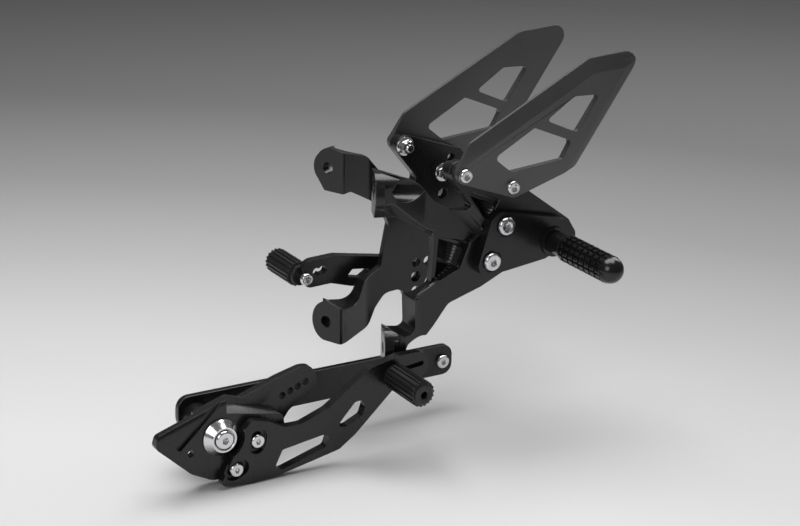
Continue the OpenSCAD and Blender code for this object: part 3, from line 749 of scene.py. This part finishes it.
def grip_rings(given):
    """Footpeg: smooth collar, rows of square teeth, ball end."""
    collar, crest, tooth = given["Collar Radius"], given["Crest Radius"], given["Tooth Height"]
    start, length, groove = given["Grip Start"], given["Length"], given["Groove"]
    core, ball = crest - tooth, given["Ball Radius"]
    rows = length - ball - start
    pitch = (rows + groove) / float(GRIP_ROWS)
    soft, rake = 0.35 * MM, 0.02 * MM
    rings = [
        (0.0, 0.0), (collar - 0.6 * MM, 0.0), (collar, 0.6 * MM), (collar, start - 2.4 * MM),
        (collar - 0.9 * MM, start - 1.6 * MM), (core, start - 1.2 * MM),
    ]
    for k in range(GRIP_ROWS):
        low = start + pitch * float(k)
        high = low + pitch - groove
        rings += [
            (core, low),
            (crest - soft, low + rake, 0, tooth - soft), (crest, low + soft, 0, tooth),
            (crest, high - soft, 0, tooth), (crest - soft, high - rake, 0, tooth - soft),
            (core, high),
        ]
    centre = length - ball
    for k in range(-3, 12):
        lean = math.radians(k * BALL_STEP)
        rings.append((ball * math.cos(lean), centre + ball * math.sin(lean)))
    return rings + [(0.0, length)]


# Ribs round a toe piece, and the steps and the low steps of a rib
TOE_RIBS = 18
RIB_STEPS, RIB_LOW = 6, (0, 4, 5)


def toe_rings(given):
    """Toe piece: smooth neck, deep ribs, end cap with a key recess."""
    neck, crest, rib = given["Neck Radius"], given["Crest Radius"], given["Rib Height"]
    collar, length, cap = given["Neck Length"], given["Length"], given["Cap"]
    key, deep = given["Key Radius"], given["Key Depth"]
    end = length - cap
    soft, lip, shoulder = 0.5 * MM, 0.3 * MM, 1.6 * MM
    return [
        (0.0, 0.0), (neck - 0.4 * MM, 0.0), (neck, 0.4 * MM), (neck, collar),
        (crest - shoulder, collar), (crest - soft, collar + 0.4 * MM, 0, rib - soft),
        (crest, collar + 1.1 * MM, 0, rib), (crest, end - 1.1 * MM, 0, rib),
        (crest - soft, end - 0.4 * MM, 0, rib - soft), (crest - shoulder, end),
        (neck - soft, end), (neck - soft, length - soft), (neck - 1.0 * MM, length),
        (key + lip, length), (key, length - lip, 1), (key, length - deep, 1),
        (0.0, length - deep - soft),
    ]


button_tree = ring_tree(
    "button_bolt",
    ["Head Radius", "Head Height", "Shank Radius", "Shank Length", "Key Radius", "Key Depth",
     "Pitch"],
    button_rings, segments=48,
)
nut_tree = ring_tree(
    "flange_nut",
    ["Flange Radius", "Corner Radius", "Height", "Bore Radius", "Pitch"],
    nut_rings, segments=48,
)
washer_tree = ring_tree(
    "plain_washer",
    ["Outer Radius", "Bore Radius", "Thickness", "Edge"],
    washer_rings, segments=64,
)
cone_tree = ring_tree(
    "cone_washer",
    ["Rim Radius", "Top Radius", "Height", "Recess Radius", "Recess Depth", "Bore Radius"],
    cone_rings, segments=96,
)
grip_tree = ring_tree(
    "toothed_grip",
    ["Collar Radius", "Crest Radius", "Tooth Height", "Grip Start", "Length", "Groove",
     "Ball Radius"],
    grip_rings, segments=GRIP_TEETH * TOOTH_STEPS, notch=(TOOTH_STEPS, TOOTH_LOW),
)
toe_tree = ring_tree(
    "ribbed_toe",
    ["Neck Radius", "Crest Radius", "Rib Height", "Neck Length", "Length", "Cap", "Key Radius",
     "Key Depth"],
    toe_rings, segments=TOE_RIBS * RIB_STEPS, notch=(RIB_STEPS, RIB_LOW),
)

# Sizes of the turned pieces, in mm
M6 = {"Head Radius": 5.25, "Head Height": 3.3, "Shank Radius": 3,
      "Key Radius": 1.9, "Key Depth": 2.2, "Pitch": 1}
M8 = {"Head Radius": 7, "Head Height": 4.4, "Shank Radius": 4,
      "Key Radius": 2.5, "Key Depth": 2.9, "Pitch": 1.25}
M6_LOW = dict(M6, **{"Head Radius": 4.75})
M6_NUT = {"Flange Radius": 7.1, "Corner Radius": 5.4, "Height": 6.6, "Bore Radius": 3.02,
          "Pitch": 1}
WASHER = {"Outer Radius": 10.5, "Bore Radius": 3.9, "Thickness": 1.5, "Edge": 0.25}
CONE = {"Rim Radius": 13.25, "Top Radius": 9, "Height": 6, "Recess Radius": 7.5,
        "Recess Depth": 3, "Bore Radius": 4.25}
GRIP = {"Collar Radius": 8.25, "Crest Radius": 10, "Tooth Height": 1.3, "Grip Start": 16,
        "Length": 76, "Groove": 1.8, "Ball Radius": 9.6}
TOE = {"Neck Radius": 7.5, "Crest Radius": 9.5, "Rib Height": 1.2, "Neck Length": 4,
       "Cap": 1.5, "Key Radius": 2.9, "Key Depth": 5}


def bolts(name, seats, length, kind, body, stands_for=None, seed=1):
    """Button bolts of one kind and length, with their heads' undersides at seats."""
    sizes = dict(kind, **{"Shank Length": length})
    turned_pieces(
        name, button_tree, seats, sizes, bright_steel, body, stands_for, seed
    )


# The rounded outboard end of each mounting pad, in mm
PAD_LEAN = math.radians(24)
PAD_REACH = 12.6
LOWER_REACH = PAD_REACH + 0.4
PAD_NOSE = 6.6
# Degrees either way that a nose and its corner cutter go round
NOSE_ARC, CUTTER_ARC = 60, 88
ARC_STEPS = 30
# The cutter's half width, where it starts and how far past the nose it ends
CUTTER_HALF, CUTTER_LEAD, CUTTER_PAST = 24, 2, 5
# Each bore, and how far its pad's round reaches above and below it
LEFT_PADS = [((0, 0), 12.6, 12.6), ((10, -115.5), 14.1, 16.2)]
RIGHT_PADS = [((0, 0), 12.6, 12.6), ((0, -116.5), 15.1, 15.2)]


def pad_noses(place, pads, outboard):
    """The solids that round the pads' outboard ends, about each bore."""
    inward = Vector((math.cos(PAD_LEAN), outboard * math.sin(PAD_LEAN), 0)) * MM
    sideways = Vector((-math.sin(PAD_LEAN), outboard * math.cos(PAD_LEAN), 0)) * MM
    rise = Vector((0, 0, 1)) * MM

    def arc(half, reach, above, below):
        points = []
        for k in range(ARC_STEPS + 1):
            turn = math.radians(2 * half * k / ARC_STEPS - half)
            height = above if turn > 0 else below
            points.append(sideways * math.cos(turn) * reach + rise * math.sin(turn) * height)
        return points

    solids = []
    for bore, above, below in pads:
        face = place(bore, 0)
        upper = bore == pads[0][0]
        nose = arc(NOSE_ARC, PAD_REACH if upper else LOWER_REACH, above, below)
        solids.append((prism("pad_nose", nose, face, inward * PAD_NOSE), "UNION"))
        if not upper:
            outside = arc(CUTTER_ARC, PAD_REACH, above, below)
            high, out = rise * CUTTER_HALF, sideways * CUTTER_HALF
            outside += [high, out + high, out - high, -high]
            start, depth = face - inward * CUTTER_LEAD, inward * (PAD_NOSE + CUTTER_PAST)
            solids.append((prism("pad_corner", outside, start, depth), "DIFFERENCE"))
    return solids


# Plates, guards, levers and the other cut pieces
for node, place, pads, outboard in [
    ("left_hanger", left, LEFT_PADS, -1),
    ("right_hanger", right, RIGHT_PADS, 1),
]:
    machined(
        node, plate_black, 0.45, edge_black,
        (on_pocket_floor, ridged_black), pad_noses(place, pads, outboard),
    )
for node in ["left_heel_guard", "right_heel_guard"]:
    machined(
        node, guard_black, 0.5, edge_black, (on_guard_bevel, bevel_black)
    )
for node, finish, broken in [
    ("left_peg_holder", plate_black, 0.6),
    ("right_peg_holder", plate_black, 0.6),
    ("left_guard_collar", lever_black, 0.3),
    ("brake_lever", lever_black, 0.6),
    ("shift_bracket", lever_black, 0.6),
    ("shift_spacer", lever_black, 0.6),
    ("shift_cam", lever_black, 0.5),
    ("shift_pedal", lever_black, 0.5),
]:
    machined(node, finish, broken, edge_black)
for node in ["brake_bush", "cam_bush", "left_peg_bolt", "right_peg_bolt", "right_stay_bolt"]:
    machined(node, bush_steel, 0.2, bush_steel)

# Fasteners
HANGERS, BRAKE, SHIFT = (
    frame["nodes"][node]["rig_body"] for node in ("left_hanger", "brake_lever", "shift_cam")
)
pivot_seat = LEVER_OUT - SIDE_PLAY
pivot_head = pivot_seat - WASHER["Thickness"]
cone_seat = CAM_FRONT - SIDE_PLAY
cone_head = cone_seat - (CONE["Height"] - CONE["Recess Depth"])
bolts("left_guard_long_bolt", seated(left, GUARD_FACE, OUT_LEFT, GUARD_BOLTS[0]), 21, M6,
      HANGERS, ["left_guard_bolts"], 3)
bolts("left_guard_short_bolt", seated(left, GUARD_FACE, OUT_LEFT, GUARD_BOLTS[1]), 14, M6,
      HANGERS, seed=5)
bolts("right_guard_long_bolt", seated(right, GUARD_FACE, OUT_RIGHT, GUARD_BOLTS[0]), 23, M6,
      HANGERS, ["right_guard_bolts"], 4)
bolts("right_guard_short_bolt", seated(right, GUARD_FACE, OUT_RIGHT, GUARD_BOLTS[1]), 11.5, M6,
      HANGERS, seed=6)
bolts("left_holder_button_bolts", seated(left, HOLDER_SEAT, OUT_LEFT, *HOLDER_BOLTS), 16, M8,
      HANGERS, ["left_holder_bolts"], 7)
bolts("right_holder_button_bolts", seated(right, HOLDER_SEAT, OUT_RIGHT, *HOLDER_BOLTS), 13, M8,
      HANGERS, ["right_holder_bolts"], 8)
turned_pieces("right_nuts", nut_tree, seated(right, INNER, OUT_LEFT, GUARD_BOLTS[0], STAY_BOLT),
              M6_NUT, bright_steel, HANGERS, ["right_flange_nuts"], 2)
bolts("brake_pivot_button_bolt", seated(right, pivot_head, OUT_RIGHT, BRAKE_PIVOT), 21.5, M8,
      HANGERS, ["brake_pivot_bolt"], 9)
turned_pieces("brake_pivot_washer", washer_tree, seated(right, pivot_seat, OUT_RIGHT, BRAKE_PIVOT),
              WASHER, bright_steel, HANGERS)
bolts("brake_toe_button_bolt", seated(right, LEVER_IN, OUT_LEFT, BRAKE_TOE), 29, M6_LOW, BRAKE,
      ["brake_toe_bolt"], 10)
bolts("bracket_button_bolt", seated(left, BRACKET, OUT_LEFT, BRACKET_BOLT), 14, M6, HANGERS,
      ["bracket_bolt"], 11)
turned_pieces("bracket_flange_nut", nut_tree,
              seated(left, BRACKET + BRACKET_T, OUT_RIGHT, BRACKET_BOLT), M6_NUT, bright_steel,
              HANGERS, ["bracket_nut"], 12)
turned_pieces("pivot_cone_washer", cone_tree, seated(left, cone_seat, OUT_LEFT, SHIFT_PIVOT),
              CONE, bright_steel, HANGERS, ["cone_washer"])
bolts("shift_pivot_button_bolt", seated(left, cone_head, OUT_LEFT, SHIFT_PIVOT), 48, M8,
      HANGERS, ["shift_pivot_bolt"], 13)
bolts("pedal_button_bolts", seated(left, PEDAL_SEAT, OUT_LEFT, *PEDAL_BOLTS), 13, M6, SHIFT,
      ["shift_pedal_bolts"], 14)
bolts("shift_toe_button_bolt", seated(left, TOE_SEAT, OUT_RIGHT, SHIFT_TOE), 25.5, M6_LOW,
      SHIFT, ["shift_toe_bolt"], 15)

# Footpegs and toe pieces
turned_pieces("left_grip", grip_tree, seated(left, PEG_SEAT, OUT_LEFT, PEG_AXIS),
              GRIP, grip_black, HANGERS, ["left_footpeg"])
turned_pieces("right_grip", grip_tree, seated(right, PEG_SEAT, OUT_RIGHT, PEG_AXIS),
              GRIP, grip_black, HANGERS, ["right_footpeg"])
turned_pieces("brake_toe_grip", toe_tree, seated(right, LEVER_OUT, OUT_RIGHT, BRAKE_TOE),
              dict(TOE, Length=41), toe_black, BRAKE, ["brake_toe_piece"])
turned_pieces("shift_toe_grip", toe_tree, seated(left, PEDAL_FRONT, OUT_LEFT, SHIFT_TOE),
              dict(TOE, Length=42), toe_black, SHIFT, ["shift_toe_piece"])


# Floor, light and camera, in metres

FLOOR = -0.1856
FLOOR_SIZE = 24
# Painted light: the floor's colour darkens with distance from this point, from a start and over a
# span, as a painted pool of light round the object
PAINTED_LIGHT_CENTRE = (-1.2, -1.0, 0.0)
PAINTED_FALL_START, PAINTED_FALL_SPAN = 1.2, 2.0
PAINTED_FALL_OFF = [
    (0.0, 0.66), (0.15, 0.63), (0.25, 0.53), (0.34, 0.40), (0.45, 0.27), (0.6, 0.17),
    (0.9, 0.13),
]


def floor_finish():
    """Floor with a painted pool of light: its colour falls off from pale to grey away from the
    object.

    The painted fall-off is for the camera and for gloss. Other light meets an even grey.
    """
    finish, graph, shader = new_finish("floor_painted_fall_off", (0.6, 0.6, 0.6), 0.0, specular=0.2)
    flat = graph.vectors("MULTIPLY", graph.spot(), (1.0, 1.0, 0.0))
    reach = graph.vectors("DISTANCE", flat, PAINTED_LIGHT_CENTRE, output="Value")
    shade = graph.node(
        "ShaderNodeValToRGB", {"stops": PAINTED_FALL_OFF}, {"Fac": (reach - PAINTED_FALL_START) / PAINTED_FALL_SPAN}
    )
    by_eye = graph.node("ShaderNodeLightPath", None, None, "Is Camera Ray")
    by_gloss = graph.node("ShaderNodeLightPath", None, None, "Is Glossy Ray")
    seen = (by_eye + by_gloss).least(1.0)
    # Camera and gloss rays see the painted fall-off of light, other light an even grey
    connect(graph, graph.mix(seen, (0.70, 0.70, 0.70, 1), shade), shader, "Base Color")
    shader.inputs["Roughness"].default_value = 0.6
    return finish


def stage_plane(name, size, finish):
    """A level square at the floor's height."""
    mesh = bpy.data.meshes.new(name)
    half = size / 2
    corners = [(x * half, y * half, FLOOR) for x, y in ((-1, -1), (1, -1), (1, 1), (-1, 1))]
    mesh.from_pydata(corners, [], [(0, 1, 2, 3)])
    mesh.materials.append(finish)
    plane = add_object(name, mesh)


def softbox(name, place, aim, width, depth, power):
    """A soft rectangular lamp at a place, aimed at a point."""
    lamp = bpy.data.lights.new(name, "AREA")
    lamp.shape, lamp.size, lamp.size_y, lamp.energy = "RECTANGLE", width, depth, power
    stand = add_object(name, lamp)
    stand.location = place
    stand.rotation_euler = (Vector(aim) - Vector(place)).to_track_quat("-Z", "Y").to_euler()


stage_plane("floor", FLOOR_SIZE, floor_finish())
softbox("overhead_softbox", (0.15, 0.25, 1.25), (0.0, 0.0, -0.05), 1.5, 1.1, power=26)
softbox("front_softbox", (-1.35, -0.75, 0.75), (0.0, 0.0, -0.05), 0.9, 0.9, power=8)
softbox("rear_softbox", (1.25, 0.55, 0.80), (0.0, 0.0, 0.0), 0.7, 1.0, power=7)

world = bpy.data.worlds.new("studio")
world.use_nodes = True
world.node_tree.nodes["Background"].inputs["Color"].default_value = (0.6, 0.6, 0.6, 1)
world.node_tree.nodes["Background"].inputs["Strength"].default_value = 0.22
bpy.context.scene.world = world
bpy.context.scene.view_settings.view_transform = "Standard"

# The camera's place, then its turn about the vertical, its dip and its tilt
EYE = Vector((-0.7131, -1.2098, 0.4470))
YAW, PITCH, ROLL = math.radians(31.3), math.radians(19.5), math.radians(-1.4)
FOCAL_LENGTH, SENSOR_WIDTH = 96.75, 36

ahead_x, ahead_y = math.sin(YAW), math.cos(YAW)
dip, flat = math.sin(PITCH), math.cos(PITCH)
forward = Vector((ahead_x * flat, ahead_y * flat, -dip))
level = Vector((ahead_y, -ahead_x, 0))
down = Vector((-ahead_x * dip, -ahead_y * dip, -flat))
side = math.cos(ROLL) * level + math.sin(ROLL) * down
below = math.cos(ROLL) * down - math.sin(ROLL) * level
lens = bpy.data.cameras.new("camera")
lens.lens, lens.sensor_width = FOCAL_LENGTH, SENSOR_WIDTH
camera = add_object("camera", lens)
camera.matrix_world = Matrix((
    (side.x, -below.x, -forward.x, EYE.x),
    (side.y, -below.y, -forward.y, EYE.y),
    (side.z, -below.z, -forward.z, EYE.z),
    (0, 0, 0, 1),
))
bpy.context.scene.camera = camera
